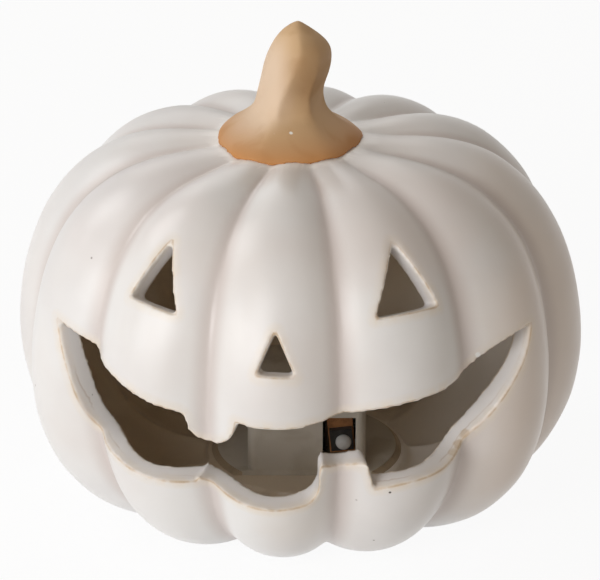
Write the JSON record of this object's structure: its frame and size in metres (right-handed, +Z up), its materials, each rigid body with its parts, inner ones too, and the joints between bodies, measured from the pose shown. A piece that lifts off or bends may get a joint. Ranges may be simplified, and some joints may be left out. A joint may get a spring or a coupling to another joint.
{
  "type": "ceramic pumpkin lantern",
  "caption": "White glazed ceramic pumpkin with twelve ribs, a cut-out grinning face and an unglazed stem, lit by a battery LED unit glued over the hole in its base.",
  "frame": {"origin": "on the table under the middle of the pumpkin", "axes": "+Z up along the pumpkin's axis, the face looks along -Y, +X to the right of someone facing it"},
  "size_m": [0.176, 0.1757, 0.1532],
  "materials": {
    "white_glaze": "satin white glaze with iron breaking along the cut edges",
    "biscuit": "matte unglazed biscuit",
    "case_plastic": "moulded, fine spark texture",
    "hot_glue": "translucent amber",
    "cell_steel": "nickel plated",
    "spring_plate": "nickel plated spring steel",
    "switch_steel": "tin plated",
    "screw_steel": "zinc plated",
    "phenolic": "brown phenolic paper laminate",
    "tinned_brass": "tinned",
    "black_plastic": "matte black",
    "clear_lens": "water clear",
    "tinned_steel": "tinned",
    "black_resin": "glossy black resin",
    "resistor_paint": "beige lacquer",
    "black_insulation": "flexible PVC",
    "red_insulation": "flexible PVC"
  },
  "bodies": {
    "lantern": {"pumpkin_body": "white_glaze", "stem": "biscuit", "light_case": "case_plastic", "base_plate": "case_plastic", "glue_bead": "hot_glue", "coin_cell_lower": "cell_steel", "coin_cell_upper": "cell_steel", "negative_contact": "spring_plate", "positive_contact": "spring_plate", "switch_frame": "switch_steel", "switch_screws": "screw_steel", "switch_base": "phenolic", "switch_terminals": "tinned_brass", "case_screws": "screw_steel", "circuit_board": "phenolic", "led_holder": "black_plastic", "led_lens": "clear_lens", "led_leads": "tinned_steel", "timer_chip": "black_resin", "resistor": "resistor_paint", "black_wire": "black_insulation", "red_wire": "red_insulation", "switch_wire": "red_insulation"},
    "cap": {"battery_cap": "case_plastic"},
    "knob": {"switch_knob": "black_plastic"}
  },
  "joints": [
    {"name": "cap_turn", "type": "hinge", "parent": "lantern", "child": "cap", "pos_m": [-0.00079, 0.00444, 0.0074], "axis": [0, 0, -1], "range_deg": [0, 60]},
    {"name": "switch_slide", "type": "slide", "parent": "lantern", "child": "knob", "axis": [-0.0924, 0.9957, 0], "range_m": [-0.0017, 0.0017]}
  ]
}
